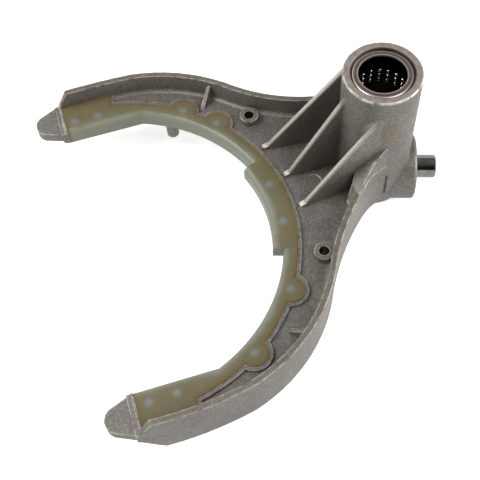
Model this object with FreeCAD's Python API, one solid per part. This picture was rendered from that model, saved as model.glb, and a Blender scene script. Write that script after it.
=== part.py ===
import FreeCAD, Part
import math
import os

# Transmission mode fork. All lengths in mm, all angles in degrees.
# Frame: +Z up along the rail bore, origin on the bore axis at the underside of the outer wall,
# +X from the centre of the fork's mouth to the bore axis.

V = FreeCAD.Vector

# mouth of the fork: centre on the X axis, mouth line turned a little against the X axis
MOUTH_TURN = -6.5
MOUTH_R = 74.0
MOUTH_X = -(MOUTH_R + 53.0)
SEAT_R = MOUTH_R - 4.7
SEAT_HALF_ANGLE = 18.5
ARM_HALF_GAP = MOUTH_R - 5.4

# outer wall, web and rim of the casting
WALL_TOP = 28.0
WALL_T = 2.4
WEB_BOTTOM = 11.0
WEB_TOP = 17.4
RIM_T = 1.8
RIM_TOP = 18.7

# outline of the outer wall: width beyond the mouth radius at the named angles
ARM_CUT = -11.5
FAR_END_W = 12.6
NEAR_END_W = 13.3
FAR_ARM = ((78.0, 13.6), (65.5, 17.0), (50.0, 20.8), (35.2, 23.2), (25.5, 28.0), (16.6, 42.2))
NEAR_ARM = ((-91.0, 14.3), (-72.0, 18.6), (-52.0, 22.2), (-35.0, 23.3), (-21.0, 27.6))
FAR_NECK = ((4.0, 21.5), (12.2, 14.4), (15.9, 4.0))
NEAR_NECK = ((-14.0, -20.9), (-8.0, -17.9), (0.0, -16.6))
PARTING_STEP = 0.25
PARTING_DROP = 1.3
WEB_ROOT_R = 2.0

# arm ends
RIDGE_W = 2.9
RIDGE_TOP = 19.3
WALL_SLOPE = 5.5
UNDER_SLOPE = 10.5
BEAK_TOP = 17.8
BEAK_BOTTOM = 12.8
BEAK_LENGTH = 10.8
BEAK_IN = ARM_HALF_GAP + 1.0
BEAK_OUT = MOUTH_R + 12.6

# moulded pad and the tongue it grips
PAD_TOP = 19.2
PAD_BOTTOM = 11.6
PAD_W = 6.4
PAD_OUTER_R = MOUTH_R + PAD_W
TONGUE_SET_BACK = 3.4
TONGUE_BOTTOM = 13.8
TONGUE_TOP = 16.6
PAD_EDGE_R = 2.6
PAD_EDGE_LAP = 0.5
LOBE_R = 6.2
LOBE_PITCH_R = PAD_OUTER_R - 0.4
LOBE_ANGLES = (47.0, 33.9, -39.8, -63.6)
END_STEP_ANGLE = 79.7
DIMPLE_R = 2.1
DIMPLE_DEPTH = 0.15
DIMPLE_PITCH_R = MOUTH_R + 0.9
DIMPLE_ANGLES = (86.5, 77.8, 1.3, -14.5, -89.9, -99.0)

# hub
HUB_R = 17.0
HUB_BOTTOM = -2.5
HUB_TOP = 72.0
HUB_EDGE = 0.8
BORE_LEAD = 1.0

# ball bushings, one at each end of the bore
CUP_R = 13.1
CUP_LENGTH = 26.0
CUP_WALL = 0.9
CUP_SINK = 1.0
PRESS_BITE = 0.02
SHOULDER_R = 11.6
RAIL_R = 10.0
LIP_CLEARANCE = 0.32
BALL_R = 1.01
BALL_COLUMNS = 18
BALL_ROWS = 3
BALL_ROW_PITCH = 2.85
BALL_CLEARANCE = 0.02
FIRST_ROW = 1.8
FIRST_COLUMN_TURN = 5.0
CAGE_LENGTH = 16.5
CAGE_T = 1.1
CAGE_GAP = 0.35

# ribs between web and hub: foot and head of the near face in plan, top edge from foot to head height
RIB_T = 2.3
RIB_ROUND = 0.9
RIB_FOOT_Z = 18.6
RIB_HEAD_Z = 63.6
RIB_PLANS = (((-45.0, 21.4), (-11.0, 13.9)), ((-42.4, 2.9), (-17.0, -0.4)), ((-42.4, -15.0), (-7.0, -15.6)))
RIB_NOSE = 1.4
RIB_ROOT_R = 2.0

# wall ramp up to the hub on the near side
RAMP_FOOT = (-21.0, 28.0)
RAMP_HEAD = (-4.5, 40.6)
RAMP_INNER = ((-27.0, -26.0), (-14.6, -11.6), (-4.0, -8.0), (0.0, -8.0))

# side boss and its pin
BOSS_TURN = -24.9
BOSS_Z = 4.6
BOSS_R = 15.3
BOSS_REACH = 20.4
BOSS_EDGE = 1.4
PIN_R = 5.5
PIN_REACH = BOSS_REACH + 10.1
PIN_ROOT = BOSS_REACH - 6.2
PIN_SHANK_R = 4.0
PIN_CHAMFER = 0.6

# small features of the casting
TUBE_R = 4.5
TUBE_HOLE_R = 2.3
TUBE_PITCH_R = MOUTH_R + 17.8
TUBE_ANGLE = 26.6
TUBE_TOP = 20.9
TUBE_BOTTOM = 6.0
CROSS_RIB_ANGLES = (41.6, -52.0)
CROSS_RIB_T = 1.9
CROSS_RIB_TOP = 25.5
CROSS_RIB_W = 9.0
SLIT = (-1.9, 5.2, 19.7)
SLIT_W = 0.4
POST_R = 3.0
POST_PITCH_R = PAD_OUTER_R - 1.0
POST_ANGLE = 58.4
EJECTOR_AT = (-32.3, -3.9)
EJECTOR_R = 3.5
EJECTOR_DEPTH = 0.35

TALL = 200.0
HIGH = 60.0


def polar(angle, radius, z=0.0):
    """point at an angle from +X and a radius about the mouth centre"""
    t = math.radians(angle)
    return V(MOUTH_X + radius * math.cos(t), radius * math.sin(t), z)


def mouth(along, across, z=0.0):
    """point given along the mouth line and across it, from the mouth centre"""
    t = math.radians(MOUTH_TURN)
    x = MOUTH_X + along * math.cos(t) - across * math.sin(t)
    return V(x, along * math.sin(t) + across * math.cos(t), z)


def mirrored(angle):
    """the part angle of an angle counted from the mouth line"""
    return angle + MOUTH_TURN


def prism(wire, z0, z1):
    """solid over a flat wire at z = 0, from z0 to z1"""
    face = Part.Face(wire)
    face.translate(V(0, 0, z0))
    return face.extrude(V(0, 0, z1 - z0))


def polygon(points):
    """closed wire through the points"""
    return Part.makePolygon(list(points) + [points[0]])


def arc(a, b, c):
    """arc edge from a through b to c"""
    return Part.Arc(a, b, c).toShape()


def line(a, b):
    return Part.LineSegment(a, b).toShape()


def drum(radius, z0, z1, at=V(0, 0, 0)):
    """upright cylinder"""
    return Part.makeCylinder(radius, z1 - z0, V(at.x, at.y, z0))


def outline():
    """closed outline of the outer wall, closed straight across the mouth beyond the arm ends"""
    f = [polar(a, MOUTH_R + w) for a, w in FAR_ARM]
    n = [polar(a, MOUTH_R + w) for a, w in NEAR_ARM]
    fn = [V(x, y, 0) for x, y in FAR_NECK]
    nn = [V(x, y, 0) for x, y in NEAR_NECK]
    far_end = mouth(ARM_CUT, MOUTH_R + FAR_END_W)
    near_end = mouth(ARM_CUT, -MOUTH_R - NEAR_END_W)
    past = 2.0 * ARM_CUT
    far_past = mouth(past, MOUTH_R + FAR_END_W)
    near_past = mouth(past, -MOUTH_R - NEAR_END_W)
    edges = [
        line(far_past, far_end),
        arc(far_end, f[0], f[1]),
        arc(f[1], f[2], f[3]),
        arc(f[3], f[4], f[5]),
        line(f[5], fn[0]),
        arc(fn[0], fn[1], fn[2]),
        line(fn[2], nn[2]),
        arc(nn[2], nn[1], nn[0]),
        arc(nn[0], n[4], n[3]),
        arc(n[3], n[2], n[1]),
        arc(n[1], n[0], near_end),
        line(near_end, near_past),
        line(near_past, far_past),
    ]
    return Part.Wire(edges)


def beyond(along, z0, z1):
    """everything on the hub's side of a line across the mouth"""
    return prism(polygon([mouth(along, -TALL), mouth(TALL, -TALL), mouth(TALL, TALL), mouth(along, TALL)]), z0, z1)


def mouth_box(half_gap, z0, z1, reach):
    """block across the mouth between the arms, open towards the arm ends"""
    past = 4.0 * ARM_CUT
    corners = [mouth(past, -half_gap), mouth(reach, -half_gap), mouth(reach, half_gap), mouth(past, half_gap)]
    return prism(polygon(corners), z0, z1)


def mouth_void(radius, half_gap, z0, z1):
    """round mouth that turns into straight, parallel sides where the circle is as wide as the gap"""
    reach = math.sqrt(radius ** 2 - half_gap ** 2)
    bowl = drum(radius, z0, z1, polar(0, 0)).common(beyond(reach, z0, z1))
    return bowl.fuse(mouth_box(half_gap, z0, z1, reach))


def seat_wedge(z0, z1):
    """sector of the mouth in which the pad stands nearer"""
    far = polar(mirrored(SEAT_HALF_ANGLE), 2 * MOUTH_R)
    near = polar(mirrored(-SEAT_HALF_ANGLE), 2 * MOUTH_R)
    middle = polar(mirrored(0), 3 * MOUTH_R)
    return prism(polygon([polar(0, 0), near, middle, far]), z0, z1)


def pad_void(z0, z1):
    """what the pad leaves free: relief radius, nearer seat in the middle, straight arm seats"""
    wedge = seat_wedge(z0, z1)
    relief = mouth_void(MOUTH_R, ARM_HALF_GAP, z0, z1).cut(wedge)
    return relief.fuse(drum(SEAT_R, z0, z1, polar(0, 0)).common(wedge))


def end_block(side, grow, z0, z1):
    """wide end of the pad, from the step to the ridge, on the far (1) or near (-1) arm"""
    step = math.radians(END_STEP_ANGLE)
    a1 = (MOUTH_R + FAR_END_W) * math.cos(step) + grow
    a0 = ARM_CUT + RIDGE_W
    inner = side * ARM_HALF_GAP
    outer = side * (MOUTH_R + FAR_END_W + 2 * WALL_T)
    return prism(polygon([mouth(a0, inner), mouth(a1, inner), mouth(a1, outer), mouth(a0, outer)]), z0, z1)


def pad_plan(grow, z0, z1):
    """plan of the pad with its lobes and wide ends, grown outwards"""
    ring = drum(PAD_OUTER_R + grow, z0, z1, polar(0, 0))
    body = ring.common(beyond(0, z0, z1))
    for angle in LOBE_ANGLES:
        body = body.fuse(drum(LOBE_R + grow, z0, z1, polar(angle, LOBE_PITCH_R)))
    for side in (1, -1):
        body = body.fuse(end_block(side, grow, z0, z1))
    return body


def sloped_cut(points, side):
    """prism across one arm over a polygon given as (along, height)"""
    a = 30.0 * side
    b = 130.0 * side
    loop = [mouth(p[0], a, p[1]) for p in points]
    face = Part.Face(polygon(loop))
    return face.extrude(mouth(0, b) - mouth(0, a))


def arm_end_trim():
    """slopes at the top and the bottom of both wall ends"""
    out = []
    top = [(ARM_CUT, RIDGE_TOP - 0.8), (ARM_CUT + 1.5, RIDGE_TOP - 0.8), (ARM_CUT + 1.5 + WALL_SLOPE, WALL_TOP),
           (ARM_CUT + 1.5 + WALL_SLOPE, WALL_TOP + 5), (2 * ARM_CUT, WALL_TOP + 5), (2 * ARM_CUT, RIDGE_TOP)]
    low = [(ARM_CUT - 1, BEAK_BOTTOM), (ARM_CUT + 1.5, BEAK_BOTTOM - 1.5), (ARM_CUT + UNDER_SLOPE, 0),
           (ARM_CUT + UNDER_SLOPE, -5), (2 * ARM_CUT, -5), (2 * ARM_CUT, BEAK_BOTTOM)]
    for side in (1, -1):
        out.append(sloped_cut(top, side))
        out.append(sloped_cut(low, side))
    return out


def beak(side):
    """thin nose in front of one arm end"""
    a = ARM_CUT
    tip = ARM_CUT - BEAK_LENGTH
    middle = (BEAK_IN + BEAK_OUT) / 2 - 0.9
    p = [mouth(a, side * BEAK_IN), mouth(a - 8.0, side * (BEAK_IN + 3.0)), mouth(tip, side * middle),
         mouth(a - 8.2, side * (BEAK_OUT - 3.8)), mouth(a, side * BEAK_OUT)]
    edges = [line(p[0], p[1]), arc(p[1], p[2], p[3]), line(p[3], p[4]), line(p[4], p[0])]
    return prism(Part.Wire(edges), BEAK_BOTTOM, BEAK_TOP)


def ridge(side):
    """raised bar across one arm end"""
    a1 = ARM_CUT + RIDGE_W
    inner = side * (ARM_HALF_GAP + 0.4)
    outer = side * (MOUTH_R + FAR_END_W - 0.6)
    loop = [mouth(ARM_CUT, inner), mouth(a1, inner), mouth(a1, outer), mouth(ARM_CUT, outer)]
    return prism(polygon(loop), WEB_BOTTOM, RIDGE_TOP)


def rib(foot, head):
    """upright rib from a small nose on the web to the hub, with a rounded sloping top edge"""
    a = V(foot[0], foot[1], 0)
    b = V(head[0], head[1], 0)
    run = V(b - a).normalize()
    side = V(-run.y, run.x, 0) * RIB_T
    slope = (RIB_HEAD_Z - RIB_FOOT_Z) / (b - a).Length
    into = 2.5
    path = [(-RIB_NOSE, WEB_BOTTOM), (-RIB_NOSE, RIB_FOOT_Z), (0.6, RIB_FOOT_Z + 0.6 * slope),
            ((b - a).Length + into, RIB_HEAD_Z + into * slope), ((b - a).Length + into, WEB_BOTTOM)]
    body = Part.Face(polygon([a + run * s + V(0, 0, z) for s, z in path])).extrude(side)
    slopes = [e for e in body.Edges if e.Length > 20 and abs(e.tangentAt(0).z) > 0.2 and abs(e.tangentAt(0).z) < 0.99]
    return body.makeFillet(RIB_ROUND, slopes)


def wall_ramp(shell, filled):
    """rise of the near wall towards the hub; between wall and hub it is solid"""
    x0, z0 = RAMP_FOOT
    x1, z1 = RAMP_HEAD
    y = -HUB_R - 20.0
    loop = [V(x0 - 6, y, WEB_TOP), V(x0 - 6, y, z0), V(x0, y, z0), V(x1, y, z1), V(x1 + 4, y, z1), V(x1 + 4, y, WEB_TOP)]
    under = Part.Face(polygon(loop)).extrude(V(0, HUB_R + 15.0, 0))
    inner = [V(px, py, 0) for px, py in RAMP_INNER]
    wedge = prism(polygon(inner + [V(0, -TALL, 0), V(inner[0].x, -TALL, 0)]), WEB_TOP, HIGH)
    return shell.common(under).fuse(filled.common(under).common(wedge))


def side_axis():
    t = math.radians(BOSS_TURN)
    return V(math.cos(t), math.sin(t), 0)


def side_boss():
    """horizontal boss with a rounded end"""
    d = side_axis()
    body = Part.makeCylinder(BOSS_R, BOSS_REACH, V(0, 0, BOSS_Z), d)
    rim = [e for e in body.Edges if e.Closed and (e.BoundBox.Center - V(0, 0, BOSS_Z)).Length > BOSS_REACH / 2]
    body = body.makeFillet(BOSS_EDGE, rim)
    return body.cut(drum(CUP_R - PRESS_BITE, -TALL, TALL))


def cross_rib(angle):
    """small rib that runs from high on the outer wall down to the web"""
    low = polar(angle, MOUTH_R + 20.2 - CROSS_RIB_W, WEB_TOP)
    high = polar(angle, MOUTH_R + 20.2, CROSS_RIB_TOP)
    base = polar(angle, MOUTH_R + 20.2, WEB_BOTTOM)
    foot = polar(angle, MOUTH_R + 20.2 - CROSS_RIB_W, WEB_BOTTOM)
    t = math.radians(angle)
    n = V(-math.sin(t), math.cos(t), 0) * (CROSS_RIB_T / 2)
    face = Part.Face(polygon([foot - n, low - n, high - n, base - n]))
    return face.extrude(n * 2)


def tube(side):
    return drum(TUBE_R, TUBE_BOTTOM, TUBE_TOP, polar(side * TUBE_ANGLE, TUBE_PITCH_R))


def post(side):
    return drum(POST_R, 0, WEB_BOTTOM + 1, polar(mirrored(side * POST_ANGLE), POST_PITCH_R))


def hub_bore():
    """bore with a seat for a bushing at each end"""
    seat_r = CUP_R - PRESS_BITE
    seat = CUP_SINK + CUP_LENGTH
    low = drum(seat_r, HUB_BOTTOM - 1, HUB_BOTTOM + seat)
    high = drum(seat_r, HUB_TOP - seat, HUB_TOP + 1)
    middle = drum(SHOULDER_R, HUB_BOTTOM, HUB_TOP)
    lead_high = Part.makeCone(seat_r, seat_r + BORE_LEAD, BORE_LEAD, V(0, 0, HUB_TOP - BORE_LEAD))
    lead_low = Part.makeCone(seat_r + BORE_LEAD, seat_r, BORE_LEAD, V(0, 0, HUB_BOTTOM))
    return low.fuse([high, middle, lead_high, lead_low])


def hub():
    """tube of the rail bore with its ribs; the two that meet it squarely have rounded roots"""
    body = drum(HUB_R, HUB_BOTTOM, HUB_TOP)
    rims = [e for e in body.Edges if e.Closed]
    body = body.makeFillet(HUB_EDGE, rims)
    first, *others = [rib(*plan) for plan in RIB_PLANS]
    body = body.fuse(others).removeSplitter()
    body = body.makeFillet(RIB_ROOT_R, [e for e in body.Edges if is_rib_root(e)])
    return body.fuse(first)


def is_rib_root(edge):
    """true for an upright edge on the hub's outside that does not run its whole length"""
    if len(edge.Vertexes) < 2:
        return False
    a, b = (v.Point for v in edge.Vertexes)
    upright = math.hypot(a.x - b.x, a.y - b.y) < 1e-6
    on_hub = abs(math.hypot(a.x, a.y) - HUB_R) < 0.01
    return upright and on_hub and 20 < abs(a.z - b.z) < RIB_HEAD_Z


def at_height(shape, z):
    """edges of a shape that lie flat at a height"""
    return [e for e in shape.Edges if abs(e.BoundBox.ZMin - z) < 1e-3 and abs(e.BoundBox.ZMax - z) < 1e-3]


def wall_and_web(wire, inner):
    """outer wall with its parting step, open above and below the web and rounded where it meets the web"""
    lip = wire.makeOffset2D(PARTING_STEP)
    body = prism(wire, 0, WALL_TOP)
    body = body.cut(prism(inner, WEB_TOP, WALL_TOP + 1))
    body = body.cut(prism(inner, -1, WEB_BOTTOM))
    body = body.makeFillet(WEB_ROOT_R, at_height(body, WEB_TOP) + at_height(body, WEB_BOTTOM))
    step = prism(lip, WALL_TOP - PARTING_DROP, WALL_TOP).cut(prism(wire, 0, WALL_TOP))
    return body.fuse(step)


def fork_casting():
    wire = outline()
    inner = wire.makeOffset2D(-WALL_T)
    filled = prism(wire, 0, HIGH)
    shell = filled.cut(prism(inner, 0, HIGH))
    body = wall_and_web(wire, inner)
    past = 4 * ARM_CUT
    front = prism(polygon([mouth(past, -TALL), mouth(ARM_CUT, -TALL), mouth(ARM_CUT, TALL), mouth(past, TALL)]), -5, HIGH)
    rim = pad_plan(RIM_T, WEB_BOTTOM, RIM_TOP).common(prism(inner, 0, HIGH))
    body = body.fuse(rim).cut(front)
    body = body.cut(mouth_void(MOUTH_R + TONGUE_SET_BACK, ARM_HALF_GAP + TONGUE_SET_BACK, -5, HIGH))
    recess = pad_plan(0, TONGUE_TOP, WALL_TOP + 1).common(prism(inner, 0, HIGH))
    body = body.cut(recess)
    low_recess = drum(PAD_OUTER_R, -5, TONGUE_BOTTOM, polar(0, 0)).common(pad_plan(0, -5, TONGUE_BOTTOM))
    body = body.cut(low_recess)
    adds = [hub(), side_boss(), wall_ramp(shell, filled)]
    adds += [cross_rib(angle) for angle in CROSS_RIB_ANGLES]
    for side in (1, -1):
        adds += [tube(side), post(side), ridge(side)]
    body = body.fuse(adds)
    for cut in arm_end_trim():
        body = body.cut(cut)
    body = body.fuse([beak(1), beak(-1)])
    cuts = [hub_bore()]
    for side in (1, -1):
        cuts.append(drum(TUBE_HOLE_R, -1, WALL_TOP, polar(side * TUBE_ANGLE, TUBE_PITCH_R)))
    cuts.append(drum(EJECTOR_R, WEB_TOP - EJECTOR_DEPTH, WEB_TOP + 1, V(EJECTOR_AT[0], EJECTOR_AT[1], 0)))
    cuts.append(Part.makeBox(SLIT_W, SLIT_W * 2, SLIT[2] - SLIT[1], V(SLIT[0], -HUB_R - SLIT_W, SLIT[1])))
    d = side_axis()
    cuts.append(Part.makeCylinder(PIN_SHANK_R - PRESS_BITE, BOSS_REACH, V(0, 0, BOSS_Z) + d * PIN_ROOT, d))
    return body.cut(cuts).removeSplitter()


def edge_profile(start):
    """what a rounded top inner edge leaves away, as a face across it, at a distance from the mouth centre"""
    low = PAD_TOP - PAD_EDGE_R
    bow = PAD_EDGE_R * (1 - math.cos(math.radians(45)))
    a = V(MOUTH_X + start, 0, low)
    b = V(MOUTH_X + start + bow, 0, PAD_TOP - bow)
    c = V(MOUTH_X + start + PAD_EDGE_R, 0, PAD_TOP)
    up = V(0, 0, 1)
    back = V(-1, 0, 0)
    edges = [arc(a, b, c), line(c, c + up), line(c + up, a + back + up * (1 + PAD_EDGE_R)),
             line(a + back + up * (1 + PAD_EDGE_R), a + back), line(a + back, a)]
    return Part.Face(Part.Wire(edges))


def pad_edge_cuts():
    """rounding of the pad's top inner edge: round the relief, round the seat and along both arms.

    The straight runs and the round one lap over each other a little where they meet.
    """
    centre = polar(0, 0)
    z0, z1 = PAD_BOTTOM, PAD_TOP + 2
    wedge = seat_wedge(z0, z1)
    reach = math.sqrt(MOUTH_R ** 2 - ARM_HALF_GAP ** 2)
    relief = edge_profile(MOUTH_R).revolve(centre, V(0, 0, 1), 360)
    seat = edge_profile(SEAT_R).revolve(centre, V(0, 0, 1), 360)
    cuts = [relief.common(beyond(reach - PAD_EDGE_LAP, z0, z1)).cut(wedge), seat.common(wedge)]
    for side in (1, -1):
        face = edge_profile(ARM_HALF_GAP)
        face.rotate(centre, V(0, 0, 1), 90 * side + MOUTH_TURN)
        start = mouth(4 * ARM_CUT, 0) - centre
        face.translate(start)
        cuts.append(face.extrude(mouth(reach + PAD_EDGE_LAP, 0) - mouth(4 * ARM_CUT, 0)))
    return cuts


def slide_pad(casting):
    """pad moulded round the casting's tongue, with a rounded top inner edge and shallow gate marks"""
    body = pad_plan(0, PAD_BOTTOM, PAD_TOP).common(prism(outline().makeOffset2D(-WALL_T), 0, HIGH))
    body = body.cut(pad_void(PAD_BOTTOM - 1, PAD_TOP + 1)).cut(pad_edge_cuts()).cut(casting)
    body = max(body.Solids, key=lambda s: s.Volume)
    for angle in DIMPLE_ANGLES:
        body = body.cut(drum(DIMPLE_R, PAD_TOP - DIMPLE_DEPTH, PAD_TOP + 1, polar(angle, DIMPLE_PITCH_R)))
    for angle in LOBE_ANGLES:
        body = body.cut(drum(DIMPLE_R, PAD_TOP - DIMPLE_DEPTH, PAD_TOP + 1, polar(angle, LOBE_PITCH_R)))
    return body


def cam_pin():
    """pin with a thinner shank pressed into the boss; its shoulder sits on the boss face"""
    d = side_axis()
    at = V(0, 0, BOSS_Z)
    body = Part.makeCylinder(PIN_R, PIN_REACH - BOSS_REACH, at + d * BOSS_REACH, d)
    far = at + d * PIN_REACH
    rims = [e for e in body.Edges if e.Closed and (e.BoundBox.Center - far).Length < PIN_R / 2]
    body = body.makeChamfer(PIN_CHAMFER, rims)
    shank = Part.makeCylinder(PIN_SHANK_R, BOSS_REACH - PIN_ROOT, at + d * PIN_ROOT, d)
    return body.fuse(shank).removeSplitter()


def cup(z0):
    """drawn cup of a ball bushing with a lip turned in at both ends"""
    z1 = z0 + CUP_LENGTH
    lip_r = RAIL_R + LIP_CLEARANCE
    body = drum(CUP_R, z0, z1)
    rims = [e for e in body.Edges if e.Closed]
    body = body.makeFillet(CUP_WALL * 0.8, rims)
    body = body.cut(drum(CUP_R - CUP_WALL, z0 + CUP_WALL, z1 - CUP_WALL))
    return body.cut(drum(lip_r, z0 - 1, z1 + 1))


def ball_places(z0):
    """centres of the balls, rows one above the other"""
    r = CUP_R - CUP_WALL - BALL_CLEARANCE - BALL_R
    top_row = z0 + CAGE_LENGTH - FIRST_ROW
    out = []
    for row in range(BALL_ROWS):
        for k in range(BALL_COLUMNS):
            t = 2 * math.pi * k / BALL_COLUMNS + math.radians(FIRST_COLUMN_TURN)
            out.append(V(r * math.cos(t), r * math.sin(t), top_row - row * BALL_ROW_PITCH))
    return out


def cage(z0):
    """sleeve with a round pocket for each ball"""
    outer = CUP_R - CUP_WALL - CAGE_GAP
    body = drum(outer, z0, z0 + CAGE_LENGTH).cut(drum(outer - CAGE_T, z0 - 1, z0 + CAGE_LENGTH + 1))
    pockets = []
    for p in ball_places(z0):
        d = V(p.x, p.y, 0).normalize()
        pockets.append(Part.makeCylinder(BALL_R + 0.15, 4.0, V(0, 0, p.z) + d * (outer - CAGE_T - 1.0), d))
    return body.cut(pockets)


def balls(z0):
    return Part.makeCompound([Part.makeSphere(BALL_R, p) for p in ball_places(z0)])


def main():
    os.makedirs("parts", exist_ok=True)
    casting = fork_casting()
    low = HUB_BOTTOM + CUP_SINK
    high = HUB_TOP - CUP_SINK - CUP_LENGTH
    nodes = {
        "fork_casting": casting,
        "slide_pad": slide_pad(casting),
        "cam_pin": cam_pin(),
        "upper_bushing_cup": cup(high),
        "upper_ball_cage": cage(high + CUP_WALL + 0.1),
        "upper_balls": balls(high + CUP_WALL + 0.1),
        "lower_bushing_cup": cup(low),
        "lower_ball_cage": cage(low + CUP_WALL + 0.1),
        "lower_balls": balls(low + CUP_WALL + 0.1),
    }
    for name, shape in nodes.items():
        shape.exportStep("parts/" + name + ".step")


main()
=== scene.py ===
import math
from collections import namedtuple

import bpy
from mathutils import Matrix, Vector

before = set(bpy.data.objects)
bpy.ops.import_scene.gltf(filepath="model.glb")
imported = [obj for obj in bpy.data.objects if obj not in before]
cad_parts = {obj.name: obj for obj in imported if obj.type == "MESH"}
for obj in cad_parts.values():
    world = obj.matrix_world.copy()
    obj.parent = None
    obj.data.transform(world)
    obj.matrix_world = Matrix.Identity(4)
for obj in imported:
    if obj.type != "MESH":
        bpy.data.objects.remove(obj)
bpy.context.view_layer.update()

bl_info = {
    "name": "Mode fork dressing",
    "version": (1, 0, 0),
    "blender": (4, 5, 0),
    "location": "3D View > Sidebar > Mode Fork",
    "description": "Finishes of a die-cast transmission mode fork with its moulded pad, pin and ball bushings",
    "category": "Object",
}

MM = 0.001

# sizes of the part in mm and angles in degrees, in its own frame: Z is the rail, the mouth opens to -X
HUB_R = 17.0
HUB_TOP = 72.0
HUB_MIDDLE = 34.75
CUP_R = 13.1
CUP_WALL = 0.9
CUP_REACH = 36.25
LIP_R = 10.32
MOUTH = (-127.0, 0.0, 0.0)
MOUTH_TURN = -6.5
MOUTH_R = 74.0
SEAT_RISE = 4.7
SEAT_HALF_ANGLE = 18.5
ARM_HALF_GAP = 68.6
RIDGE_REACH = 8.6
RIDGE_TOP = 19.3
WALL_TOP = 28.0
RIM_OUTER_R = 82.2
PAD_TOP = 19.2
PAD_OUTER_R = 80.4
PAD_END_HALF_W = 84.1
PAD_END_ALONG = 15.5
LOBE_R = 6.2
LOBE_PITCH_R = 80.0
LOBE_ANGLES = (47.0, 33.9, -39.8, -63.6)
MARK_PITCH_R = 74.9
MARK_ANGLES = (86.5, 77.8, 1.3, -14.5, -89.9, -99.0)
BOSS_TURN = -24.9
BOSS_REACH = 20.4
TUBE_PITCH_R = 91.8
TUBE_HOLE_R = 2.3
TUBE_ANGLE = 26.6
TUBE_TOP = 20.9
SLIT_AT = (-1.7, -17.0)
SLIT_BOTTOM = 6
SLIT_TOP = 19

# oil stains in mm: two on the hub's front, two on the second rib's head, one on the web of each arm
STAIN_PLACES = (
    (-3.3, -16.7, 50.0), (-3.0, -16.8, 54.5),
    (-18.5, 1.0, 61.0), (-24.0, 1.5, 54.0),
    (-47.0, 41.0, 18.0), (-45.0, -41.0, 18.0),
)

# the three ribs lie between these sides in plan, in mm
RIBS_X = (-49.0, -9.5)
RIBS_Y = (-18.5, 24.5)

# stage in metres and degrees; each lamp has a name, a place and its share of the key light's power
FLOOR_HALF_SIDE = 4.0
CEILING_X = (-2.2, 2.2)
CEILING_Y = (-6.0, 1.4)
CEILING_HEIGHT = 1.3
LAMP_SIDE = 0.6
LAMP_TARGET = (-0.07, 0.0, 0.02)
LAMPS = (
    ("low key", (1.05, -0.55, 0.40), 1.0),
    ("left top", (-0.75, 0.20, 0.90), 0.8),
    ("front top", (0.45, -0.60, 0.95), 0.55),
)
CAMERA_PLACE = (-0.14073, -0.21137, 0.36087)
CAMERA_AZIMUTH = -18.749
CAMERA_ELEVATION = 59.39
CAMERA_ROLL = -5.07
SENSOR_WIDTH = 36.0

Place = namedtuple("Place", "vector x y z plan")


def linear(hex_colour):
    """Linear RGBA of an sRGB hex value: up to 0.04045 divided by 12.92, above it a 2.4 power."""
    parts = [int(hex_colour[i:i + 2], 16) / 255 for i in (1, 3, 5)]
    return [c / 12.92 if c <= 0.04045 else ((c + 0.055) / 1.055) ** 2.4 for c in parts] + [1.0]


def node(tree, kind, inputs=(), out=0, stops=(), **settings):
    """Adds one shader node with its settings and links, and returns one of its outputs.

    Inputs come in order, or as a dict by name or number: a socket is linked, a hex colour made linear, and
    anything else set as it is. Stops are the positions and hex colours of a colour ramp.
    """
    made = tree.nodes.new("ShaderNode" + kind)
    for name, value in settings.items():
        setattr(made, name, value)
    pairs = inputs.items() if isinstance(inputs, dict) else enumerate(inputs)
    for name, value in pairs:
        if isinstance(value, bpy.types.NodeSocket):
            tree.links.new(value, made.inputs[name])
        else:
            made.inputs[name].default_value = linear(value) if isinstance(value, str) else value
    if stops:
        elements = made.color_ramp.elements
        while len(elements) < len(stops):
            elements.new(0.5)
        for element, (position, colour) in zip(elements, stops):
            element.position = position
            element.color = linear(colour)
    return made.outputs[out] if made.outputs else None


def blank_material(name):
    """New node material with nothing in it."""
    material = bpy.data.materials.new(name)
    material.use_nodes = True
    material.node_tree.nodes.clear()
    return material, material.node_tree


def finish_surface(tree, **inputs):
    """Ends a material in a Principled shader; an input's name is written with _ for its space."""
    shader = node(tree, "BsdfPrincipled", {name.replace("_", " "): value for name, value in inputs.items()})
    node(tree, "OutputMaterial", {"Surface": shader})


def place_in_mm(tree):
    """Object coordinates in mm: the vector, its parts, and the plan, which is the vector at height 0."""
    metres = node(tree, "TexCoord", out="Object")
    vector = node(tree, "VectorMath", {0: metres, "Scale": 1 / MM}, operation="SCALE")
    x, y, z = (node(tree, "SeparateXYZ", [vector], out=axis) for axis in "XYZ")
    return Place(vector, x, y, z, node(tree, "CombineXYZ", [x, y]))


def amount(tree, *factors):
    """Product of its factors. A factor is a number, a socket, or (value, start, end), which rises smoothly
    from 0 where the value is at its start to 1 where it is at its end; the end may be the smaller one."""
    total = None
    for factor in factors:
        if isinstance(factor, tuple):
            value, start, end = factor
            rising = start < end
            factor = node(tree, "MapRange", {
                "Value": value, "From Min": min(start, end), "From Max": max(start, end),
                "To Min": 0.0 if rising else 1.0, "To Max": 1.0 if rising else 0.0,
            }, out="Result", interpolation_type="SMOOTHSTEP")
        total = factor if total is None else node(tree, "Math", [total, factor], operation="MULTIPLY")
    return total


def coats(tree, ground, *layers):
    """Colour of a ground with coats over it, in order, each an amount and a colour."""
    for share, colour in layers:
        ground = node(tree, "Mix", {0: share, 6: ground, 7: colour}, out=2, data_type="RGBA")
    return ground


def extreme(tree, operation, first, *others):
    """Largest or smallest of some values, by MAXIMUM or MINIMUM."""
    for value in others:
        first = node(tree, "Math", [first, value], operation=operation)
    return first


def features(place, size, detail=3.0):
    """Inputs of a noise texture whose features are about this size in mm."""
    return {"Vector": place.vector, "Scale": 1 / size, "Detail": detail, "Roughness": 0.6}


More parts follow.
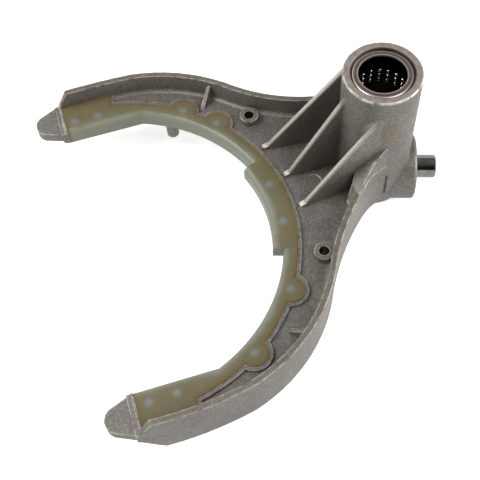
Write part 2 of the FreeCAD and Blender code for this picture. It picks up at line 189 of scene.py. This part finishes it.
def clouds(tree, place, size, stops, detail=3.0):
    """Colours that change in clouds of about this size in mm."""
    noise = node(tree, "TexNoise", features(place, size, detail))
    return node(tree, "ValToRGB", [noise], stops=stops)


def patches(tree, place, size, start, end):
    """1 in patches of about this size in mm, 0 between them."""
    return amount(tree, (node(tree, "TexNoise", features(place, size)), start, end))


def near(tree, vector, points, full, gone):
    """1 within a distance of any of the points, fading to 0; points and distances in mm."""
    gaps = [node(tree, "VectorMath", [vector, point], out="Value", operation="DISTANCE") for point in points]
    return amount(tree, (extreme(tree, "MINIMUM", *gaps), gone, full))


def outward_edge(tree, reach, start, end):
    """1 along outward edges, 0 on flats: inside the solid, rays of this reach in mm meet the next face."""
    light = node(tree, "AmbientOcclusion", {"Distance": reach * MM}, out="AO", samples=8, inside=True,
                 only_local=True)
    return amount(tree, (light, start, end))


def corner(tree, reach, start, end):
    """1 in inward corners and recesses, 0 in the open, by rays of this reach in mm."""
    light = node(tree, "AmbientOcclusion", {"Distance": reach * MM}, out="AO", samples=8)
    return amount(tree, (light, start, end))


def plan_distance(tree, place, point=(0.0, 0.0, 0.0)):
    """Distance in plan from a point, in mm."""
    return node(tree, "VectorMath", [place.plan, point], out="Value", operation="DISTANCE")


def plan_reach(tree, place, degrees, start=(0.0, 0.0, 0.0)):
    """How far a place lies from a start along a direction in plan, in mm."""
    turn = math.radians(degrees)
    offset = node(tree, "VectorMath", [place.plan, start], operation="SUBTRACT")
    direction = (math.cos(turn), math.sin(turn), 0.0)
    return node(tree, "VectorMath", [offset, direction], out="Value", operation="DOT_PRODUCT")


def mouth_point(radius, degrees, height=0.0):
    """Point on a circle about the mouth's centre, in mm."""
    turn = math.radians(degrees)
    return MOUTH[0] + radius * math.cos(turn), MOUTH[1] + radius * math.sin(turn), height


def cast_grey(tree, place):
    """Dull grey of the casting: slow clouds, and fine specks over them. The real specks are finer than a
    pixel, so they are drawn 1 mm across, to show."""
    slow = clouds(tree, place, 16.0, [(0.30, "#908b84"), (0.52, "#9a958e"), (0.74, "#a49f96")], detail=4.0)
    specks = clouds(tree, place, 1.0, [(0.32, "#5c5c5c"), (0.50, "#818181"), (0.68, "#a8a8a8")], detail=2.0)
    return node(tree, "Mix", {0: 0.6, 6: slow, 7: specks}, out=2, data_type="RGBA", blend_type="OVERLAY")


def cast_grain(tree, place):
    """Normal of the casting: edges softened by 0.6 mm, and a fine grain, drawn 0.8 to 1 mm across to show."""
    grain = node(tree, "TexNoise", features(place, 0.8))
    specks = node(tree, "TexNoise", features(place, 1.0, detail=2.0))
    height = node(tree, "Math", [grain, amount(tree, specks, 0.8)], operation="ADD")
    soft = node(tree, "Bevel", {"Radius": 0.6 * MM}, samples=4)
    return node(tree, "Bump", {"Strength": 0.35, "Distance": 0.12 * MM, "Height": height, "Normal": soft})


def oil_and_corner_shade(tree, place, oil):
    """Coats of olive oil in wide corners and at the stain places, and of painted shade, dark grey-brown, in
    tight corners where shade falls.
    """
    return (
        (amount(tree, corner(tree, 9.0, 0.80, 0.35), patches(tree, place, 9.0, 0.42, 0.62), 0.5), oil),
        (amount(tree, near(tree, place.vector, STAIN_PLACES, 1.0, 6.0), 0.35), "#7c7048"),
        # painted shade: tight corners darkened where shade falls
        (amount(tree, corner(tree, 2.6, 0.70, 0.30), 0.35), "#3d3733"),
    )


def hub_face_and_gap_shade(tree, place, radius):
    """Coats on top of the hub: its machined brownish ring, and painted shade round the cup, brown on the
    bore's lead and near black in the gap beside the cup.
    """
    machined = clouds(tree, place, 3.0, [(0.35, "#8b8179"), (0.62, "#a59b92")])
    high = amount(tree, (place.z, HUB_TOP - 1.4, HUB_TOP - 1.1))
    return (
        (amount(tree, (place.z, HUB_TOP - 0.4, HUB_TOP - 0.1), (radius, HUB_R - 0.5, HUB_R - 0.9)), machined),
        # painted shade of the gap round the cup: brown, then near black next to the cup
        (amount(tree, high, (radius, CUP_R + 1.05, CUP_R + 0.6)), "#54453c"),
        (amount(tree, high, (radius, CUP_R + 0.65, CUP_R + 0.35)), "#120e0c"),
    )


def wall_crown(tree, place, radius):
    """Coat of brown mottling on the upward faces of the outer wall and its ramp."""
    normal = node(tree, "NewGeometry", out="Normal")
    facing = node(tree, "SeparateXYZ", [normal], out="Z")
    share = amount(tree, (facing, 0.72, 0.85), (place.z, WALL_TOP - 2.2, WALL_TOP - 1.6),
                   (radius, HUB_R + 0.3, HUB_R + 0.9), patches(tree, place, 3.0, 0.30, 0.60), 0.5)
    return share, "#6a5f49"


def rib_area(tree, place, radius):
    """1 over the three ribs: between their sides in plan, off the hub and off the pad's rim."""
    from_mouth = plan_distance(tree, place, MOUTH)
    return amount(tree, (radius, HUB_R, HUB_R + 0.6), (from_mouth, RIM_OUTER_R + 1.6, RIM_OUTER_R + 2.2),
                  (place.x, RIBS_X[0] - 1.0, RIBS_X[0] + 1.0), (place.x, RIBS_X[1] + 0.5, RIBS_X[1] - 0.5),
                  (place.y, RIBS_Y[0] - 0.5, RIBS_Y[0] + 0.5), (place.y, RIBS_Y[1] + 0.5, RIBS_Y[1] - 0.5))


def wear_and_painted_highlights(tree, place, radius, wear_reach):
    """Share of the bright colour: bare worn metal along sharp edges and on the far arm's ridge, and painted
    highlights on the ribs' rounded tops and on the rounded rims of the boss and the hub."""
    flecks = patches(tree, place, 2.2, 0.35, 0.60)
    edges = amount(tree, outward_edge(tree, wear_reach, 0.85, 0.50), patches(tree, place, 4.0, 0.35, 0.60),
                   0.62)
    # painted highlight along the ribs' rounded tops
    ribs = amount(tree, outward_edge(tree, 2.1, 0.90, 0.50), rib_area(tree, place, radius), 0.88)
    # painted highlight on the boss's rounded rim
    outward = plan_reach(tree, place, BOSS_TURN)
    boss = amount(tree, outward_edge(tree, 2.1, 0.80, 0.35), (outward, BOSS_REACH - 2.2, BOSS_REACH - 1.6),
                  0.55)
    along = plan_reach(tree, place, MOUTH_TURN, MOUTH)
    ridge = amount(tree, (along, 0.3 - RIDGE_REACH, -0.1 - RIDGE_REACH),
                   (place.z, RIDGE_TOP - 0.9, RIDGE_TOP - 0.4), (place.y, -10.0, 10.0), flecks, 0.6)
    # painted highlight on the hub top's rounded outer rim
    rim = amount(tree, (place.z, HUB_TOP - 1.1, HUB_TOP - 0.8), (radius, HUB_R - 0.9, HUB_R - 0.6),
                 flecks, 0.7)
    return extreme(tree, "MAXIMUM", edges, ribs, boss, ridge, rim)


def shade_painted_in_openings(tree, place):
    """Coats of painted shade, brown-black, in the tubular bosses' holes and in the slit low on the hub's
    front.
    """
    tubes = [mouth_point(TUBE_PITCH_R, degrees) for degrees in (TUBE_ANGLE, -TUBE_ANGLE)]
    hole = near(tree, place.plan, tubes, TUBE_HOLE_R + 0.04, TUBE_HOLE_R + 0.16)
    slit = [(*SLIT_AT, height) for height in range(SLIT_BOTTOM, SLIT_TOP + 1)]
    return (
        (amount(tree, hole, (place.z, TUBE_TOP, TUBE_TOP - 0.4)), "#2c2214"),
        (amount(tree, near(tree, place.vector, slit, 0.45, 0.9), 0.8), "#2b2724"),
    )


def cast_aluminium(settings):
    """Die-cast aluminium: fine-grained dull grey, light where it is worn, with painted highlights on its
    rounded rims and rib tops, olive where oil stands in its wide corners, painted shade in its tight corners,
    holes, slit and the gap round the cup, with softened edges and a fine cast grain in its bump."""
    material, tree = blank_material("die_cast_aluminium")
    place = place_in_mm(tree)
    radius = plan_distance(tree, place)
    # bare worn metal and painted highlights, in one share
    wear = wear_and_painted_highlights(tree, place, radius, settings.wear_reach / MM)
    grey = coats(tree, cast_grey(tree, place),
                 *oil_and_corner_shade(tree, place, settings.oil_colour),
                 *hub_face_and_gap_shade(tree, place, radius),
                 wall_crown(tree, place, radius),
                 (wear, settings.wear_and_highlight_colour),
                 *shade_painted_in_openings(tree, place))
    finish_surface(tree, Base_Color=grey, Metallic=0.55, Roughness=0.5, Normal=cast_grain(tree, place))
    return material


def pad_edges(tree, place):
    """Distances in mm, from the pad's inner edge outwards and from its rim inwards.

    The inner edge is a circle of MOUTH_R about the mouth's centre, SEAT_RISE nearer in the middle seat, and
    straight along both arms at ARM_HALF_GAP from the mouth line. The rim is a circle of PAD_OUTER_R with four
    lobes, and the two wide ends reach PAD_END_HALF_W from the mouth line.
    """
    along = plan_reach(tree, place, MOUTH_TURN, MOUTH)
    sideways = plan_reach(tree, place, MOUTH_TURN + 90.0, MOUTH)
    across = node(tree, "Math", [sideways], operation="ABSOLUTE")
    radius = plan_distance(tree, place, MOUTH)
    seat_edge = amount(tree, radius, math.cos(math.radians(SEAT_HALF_ANGLE)))
    rise = amount(tree, node(tree, "Math", [along, seat_edge], operation="GREATER_THAN"), SEAT_RISE)
    bowl = node(tree, "Math", [radius, MOUTH_R], operation="SUBTRACT")
    bowl = node(tree, "Math", [bowl, rise], operation="ADD")
    arms = node(tree, "Math", [across, ARM_HALF_GAP], operation="SUBTRACT")
    circle = node(tree, "Math", [PAD_OUTER_R, radius], operation="SUBTRACT")
    lobes = [node(tree, "Math", [LOBE_R, plan_distance(tree, place, mouth_point(LOBE_PITCH_R, degrees))],
                  operation="SUBTRACT") for degrees in LOBE_ANGLES]
    ends = extreme(tree, "MINIMUM", node(tree, "Math", [PAD_END_HALF_W, across], operation="SUBTRACT"),
                   node(tree, "Math", [PAD_END_ALONG, along], operation="SUBTRACT"))
    tips = node(tree, "Math", [along, RIDGE_REACH], operation="ADD")
    outer = extreme(tree, "MAXIMUM", circle, *lobes, ends)
    return extreme(tree, "MAXIMUM", bowl, arms), extreme(tree, "MINIMUM", outer, tips)


def gate_marks():
    """Places of the pad's gate marks in mm: six near the inner edge and one in each lobe."""
    return ([mouth_point(MARK_PITCH_R, degrees, PAD_TOP) for degrees in MARK_ANGLES]
            + [mouth_point(LOBE_PITCH_R, degrees, PAD_TOP) for degrees in LOBE_ANGLES])


def moulded_nylon(settings):
    """Moulded nylon soaked with oil: pale green at the thick inner edge, olive with brown blotches over the
    casting's tongue, brown along the rim, with blurred grey spots at the gate marks."""
    material, tree = blank_material("moulded_nylon")
    place = place_in_mm(tree)
    inner, rim = pad_edges(tree, place)
    noise = node(tree, "TexNoise", features(place, 14.0))
    wander = amount(tree, node(tree, "Math", [noise, 0.5], operation="SUBTRACT"), 5.0)
    depth = node(tree, "Math", [inner, wander], operation="ADD")
    brown = node(tree, "Math", [rim, amount(tree, wander, 0.4)], operation="ADD")
    olive = node(tree, "ValToRGB", [amount(tree, (depth, 0.5, 8.0))],
                 stops=[(0.0, "#868877"), (0.14, "#7b7a68"), (0.34, "#6f6b54"), (1.0, "#6c654a")])
    body = coats(tree, olive,
                 (amount(tree, patches(tree, place, 5.0, 0.48, 0.68), (depth, 1.5, 4.0), 0.35), "#84703c"),
                 (amount(tree, near(tree, place.vector, gate_marks(), 0.6, 3.2), 0.55), "#868c91"),
                 (amount(tree, (brown, 2.6, 0.2), 0.75), settings.pad_rim_colour))
    finish_surface(tree, Base_Color=body, Roughness=0.38)
    return material


def clouded_steel(tree, place, colour):
    """Steel colour with a faint brown cloud of 3 mm in it, from thin oil."""
    noise = node(tree, "TexNoise", features(place, 3.0))
    return node(tree, "Mix", {0: noise, 6: colour, 7: "#3a3733"}, out=2, data_type="RGBA",
                blend_type="SOFT_LIGHT")


def plain_steel(name, colour, roughness):
    """Steel of one finish all over; a ground or polished one has a low roughness."""
    material, tree = blank_material(name)
    base = clouded_steel(tree, place_in_mm(tree), colour)
    finish_surface(tree, Base_Color=base, Metallic=1.0, Roughness=roughness)
    return material


def cup_steel_with_painted_light(settings):
    """Drawn steel of the cups: painted highlights on the outer and inner lips, and painted shade, near black,
    on the walls inside the bore between the lips.
    """
    material, tree = blank_material("drawn_steel")
    place = place_in_mm(tree)
    radius = plan_distance(tree, place)
    # painted highlights on the rounded lips
    lips = extreme(tree, "MAXIMUM", amount(tree, (radius, CUP_R - 1.1, CUP_R - 0.8)),
                   amount(tree, (radius, LIP_R + 0.68, LIP_R + 0.38)))
    offset = node(tree, "Math", [place.z, HUB_MIDDLE], operation="SUBTRACT")
    from_middle = node(tree, "Math", [offset], operation="ABSOLUTE")
    inner_r = CUP_R - CUP_WALL
    lip_start = CUP_REACH - CUP_WALL
    # painted shade, near black, inside the bore
    inside = amount(tree, (radius, inner_r + 0.4, inner_r + 0.2),
                    (from_middle, lip_start + 0.15, lip_start - 0.05))
    steel = clouded_steel(tree, place, settings.cup_colour)
    base = coats(tree, steel, (lips, "#dcd4cc"), (inside, "#17110f"))
    finish_surface(tree, Base_Color=base, Metallic=1.0, Roughness=0.34)
    return material


def dress(node_name, material):
    """Gives a frame node its finish."""
    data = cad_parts[node_name].data
    data.materials.clear()
    data.materials.append(material)


def colour_setting(name, description, hex_colour):
    """Colour that a user can change."""
    return bpy.props.FloatVectorProperty(name=name, description=description, default=linear(hex_colour),
                                         subtype="COLOR", size=4, min=0.0, max=1.0)


class ForkSettings(bpy.types.PropertyGroup):
    """Colours, sizes and light levels that a user would change"""

    # this colour paints worn edges and also the painted highlights on rounded rims and rib tops
    wear_and_highlight_colour: colour_setting("Worn metal and highlights", "Bare bright aluminium on worn edges", "#e6dfd2")
    wear_reach: bpy.props.FloatProperty(
        name="Wear reach", description="How far wear reaches from a sharp edge", default=0.001, unit="LENGTH")
    oil_colour: colour_setting("Oil", "Oil in the wide corners of the casting", "#77694a")
    pad_rim_colour: colour_setting("Pad rim", "Oil-soaked nylon along the rim of the pad", "#6c5a36")
    pin_colour: colour_setting("Pin steel", "Ground steel of the follower pin", "#a3a4a0")
    cup_colour: colour_setting("Cup steel", "Drawn steel of the bushing cups", "#a4968c")
    cage_colour: colour_setting("Cage steel", "Oiled steel of the ball cages", "#2a1f1b")
    ball_colour: colour_setting("Ball steel", "Bearing steel of the balls", "#d8d6d2")
    floor_height: bpy.props.FloatProperty(
        name="Floor height", description="Height of the floor under the fork", default=-0.0107, unit="LENGTH")
    key_power: bpy.props.FloatProperty(
        name="Key light", description="Power of the main lamp in watts", default=11.0, unit="POWER")
    lens: bpy.props.FloatProperty(
        name="Lens", description="Focal length on a 36 mm sensor", default=67.535, unit="CAMERA")


class FORK_OT_casting(bpy.types.Operator):
    """Finish of the cast body"""

    bl_idname = "fork.casting"
    bl_label = "Cast body"

    def execute(self, context):
        dress("fork_casting", cast_aluminium(context.scene.fork_settings))
        return {"FINISHED"}


class FORK_OT_pad(bpy.types.Operator):
    """Finish of the moulded pad"""

    bl_idname = "fork.pad"
    bl_label = "Slide pad"

    def execute(self, context):
        dress("slide_pad", moulded_nylon(context.scene.fork_settings))
        return {"FINISHED"}


class FORK_OT_pin(bpy.types.Operator):
    """Finish of the follower pin"""

    bl_idname = "fork.pin"
    bl_label = "Follower pin"

    def execute(self, context):
        dress("cam_pin", plain_steel("ground_steel", context.scene.fork_settings.pin_colour, 0.14))
        return {"FINISHED"}


class FORK_OT_bushings(bpy.types.Operator):
    """Finishes of both ball bushings"""

    bl_idname = "fork.bushings"
    bl_label = "Ball bushings"

    def execute(self, context):
        settings = context.scene.fork_settings
        cup = cup_steel_with_painted_light(settings)
        cage = plain_steel("oiled_cage_steel", settings.cage_colour, 0.45)
        ball = plain_steel("bearing_steel", settings.ball_colour, 0.12)
        for end in ("upper", "lower"):
            dress(end + "_bushing_cup", cup)
            dress(end + "_ball_cage", cage)
            dress(end + "_balls", ball)
        return {"FINISHED"}


class FORK_OT_stage(bpy.types.Operator):
    """Pale floor, ceiling, soft lamps and the camera"""

    bl_idname = "fork.stage"
    bl_label = "Stage"

    def execute(self, context):
        settings = context.scene.fork_settings
        make_floor(settings.floor_height)
        make_ceiling()
        make_world()
        make_lamps(settings.key_power)
        make_camera(settings.lens)
        context.scene.view_settings.view_transform = "Standard"
        return {"FINISHED"}


def seen_white(tree):
    """1 for camera, glossy and transmission rays, which see the white backdrop, and 0 for all others."""
    rays = [node(tree, "LightPath", out=f"Is {kind} Ray") for kind in ("Camera", "Glossy", "Transmission")]
    return extreme(tree, "MAXIMUM", *rays)


def stage_sheet(name, x_range, y_range, height, material):
    """Flat rectangle of the stage, level at a height, in metres."""
    (x0, x1), (y0, y1) = x_range, y_range
    mesh = bpy.data.meshes.new(name)
    corners = [(x0, y0, height), (x1, y0, height), (x1, y1, height), (x0, y1, height)]
    mesh.from_pydata(corners, [], [(0, 1, 2, 3)])
    mesh.materials.append(material)
    sheet = bpy.data.objects.new(name, mesh)
    bpy.context.scene.collection.objects.link(sheet)


def floor_paint():
    """Pale floor that takes the fork's shadow near it, and is plain white further off and in reflections.

    It glows a little, more from 0.3 to 0.9 m away from the fork, so that the distant floor has no grey band.
    """
    material, tree = blank_material("pale_floor")
    paint = node(tree, "BsdfPrincipled", {"Base Color": "#e7e7e7", "Roughness": 0.9})
    metres = node(tree, "TexCoord", out="Object")
    away = node(tree, "VectorMath", [metres], out="Value", operation="LENGTH")
    strength = node(tree, "Math", [amount(tree, (away, 0.3, 0.9), 0.3), 0.7], operation="ADD")
    lit = node(tree, "AddShader", [paint, node(tree, "Emission", {"Color": "#ffffff", "Strength": strength})])
    white = node(tree, "Emission", {"Color": "#ffffff", "Strength": 1.0})
    seen = node(tree, "MixShader", [node(tree, "LightPath", out="Is Camera Ray"), white, lit])
    node(tree, "OutputMaterial", {"Surface": node(tree, "MixShader", [seen_white(tree), paint, seen])})
    return material


def make_floor(height):
    """Flat square floor, pale enough to read as the backdrop."""
    side = (-FLOOR_HALF_SIDE, FLOOR_HALF_SIDE)
    stage_sheet("floor", side, side, height, floor_paint())


def make_ceiling():
    """Studio ceiling high over the fork, dark in front: polished steel mirrors it and gains contrast."""
    material, tree = blank_material("dark_ceiling")
    y = node(tree, "SeparateXYZ", [node(tree, "TexCoord", out="Object")], out="Y")
    grey = node(tree, "ValToRGB", [amount(tree, (y, -1.6, 1.2))],
                stops=[(0.0, "#1c1c1e"), (0.45, "#6a6a6c"), (1.0, "#b4b4b6")])
    finish_surface(tree, Base_Color=grey, Roughness=0.9)
    stage_sheet("ceiling", CEILING_X, CEILING_Y, CEILING_HEIGHT, material)


def make_world():
    """Even pale surround that reads white where the camera or a reflection sees it."""
    world = bpy.data.worlds.new("studio")
    bpy.context.scene.world = world
    world.use_nodes = True
    tree = world.node_tree
    tree.nodes.clear()
    soft = node(tree, "Background", {"Color": "#ffffff", "Strength": 0.5})
    seen = node(tree, "Background", {"Color": "#ffffff", "Strength": 1.0})
    node(tree, "OutputWorld", {"Surface": node(tree, "MixShader", [seen_white(tree), soft, seen])})


def make_lamps(power):
    """Soft square lamps turned to the fork's middle: a low key from the right and two weaker from above."""
    for name, place, share in LAMPS:
        data = bpy.data.lights.new(name, "AREA")
        data.shape = "SQUARE"
        data.size = LAMP_SIDE
        data.energy = power * share
        lamp = bpy.data.objects.new(name, data)
        lamp.location = place
        toward = Vector(LAMP_TARGET) - Vector(place)
        lamp.rotation_euler = toward.to_track_quat("-Z", "Y").to_euler()
        bpy.context.scene.collection.objects.link(lamp)


def make_camera(lens):
    """Camera at the photograph's viewing angle: its place, and azimuth, elevation and roll of its look."""
    azimuth, elevation, roll = map(math.radians, (CAMERA_AZIMUTH, CAMERA_ELEVATION, CAMERA_ROLL))
    back = Vector((math.sin(azimuth) * math.cos(elevation), -math.cos(azimuth) * math.cos(elevation),
                   math.sin(elevation)))
    right = Vector((math.cos(azimuth), math.sin(azimuth), 0.0))
    up = back.cross(right)
    x_axis = right * math.cos(roll) + up * math.sin(roll)
    y_axis = up * math.cos(roll) - right * math.sin(roll)
    turn = Matrix((x_axis, y_axis, back)).transposed()
    data = bpy.data.cameras.new("camera")
    data.sensor_width = SENSOR_WIDTH
    data.lens = lens
    data.clip_start, data.clip_end = 0.01, 20.0
    camera = bpy.data.objects.new("camera", data)
    camera.matrix_world = Matrix.Translation(CAMERA_PLACE) @ turn.to_4x4()
    bpy.context.scene.collection.objects.link(camera)
    bpy.context.scene.camera = camera


STEPS = ("casting", "pad", "pin", "bushings", "stage")


class FORK_PT_build(bpy.types.Panel):
    """Steps of the fork's dressing"""

    bl_idname = "FORK_PT_build"
    bl_label = "Mode Fork"
    bl_space_type = "VIEW_3D"
    bl_region_type = "UI"
    bl_category = "Mode Fork"

    def draw(self, context):
        for name in ForkSettings.__annotations__:
            self.layout.prop(context.scene.fork_settings, name)
        for step in STEPS:
            self.layout.operator("fork." + step)


CLASSES = (ForkSettings, FORK_OT_casting, FORK_OT_pad, FORK_OT_pin, FORK_OT_bushings, FORK_OT_stage,
           FORK_PT_build)


def register():
    for kind in CLASSES:
        bpy.utils.register_class(kind)
    bpy.types.Scene.fork_settings = bpy.props.PointerProperty(type=ForkSettings)


def unregister():
    del bpy.types.Scene.fork_settings
    for kind in reversed(CLASSES):
        bpy.utils.unregister_class(kind)


def main():
    register()
    for step in STEPS:
        getattr(bpy.ops.fork, step)()


if __name__ == "__main__":
    main()
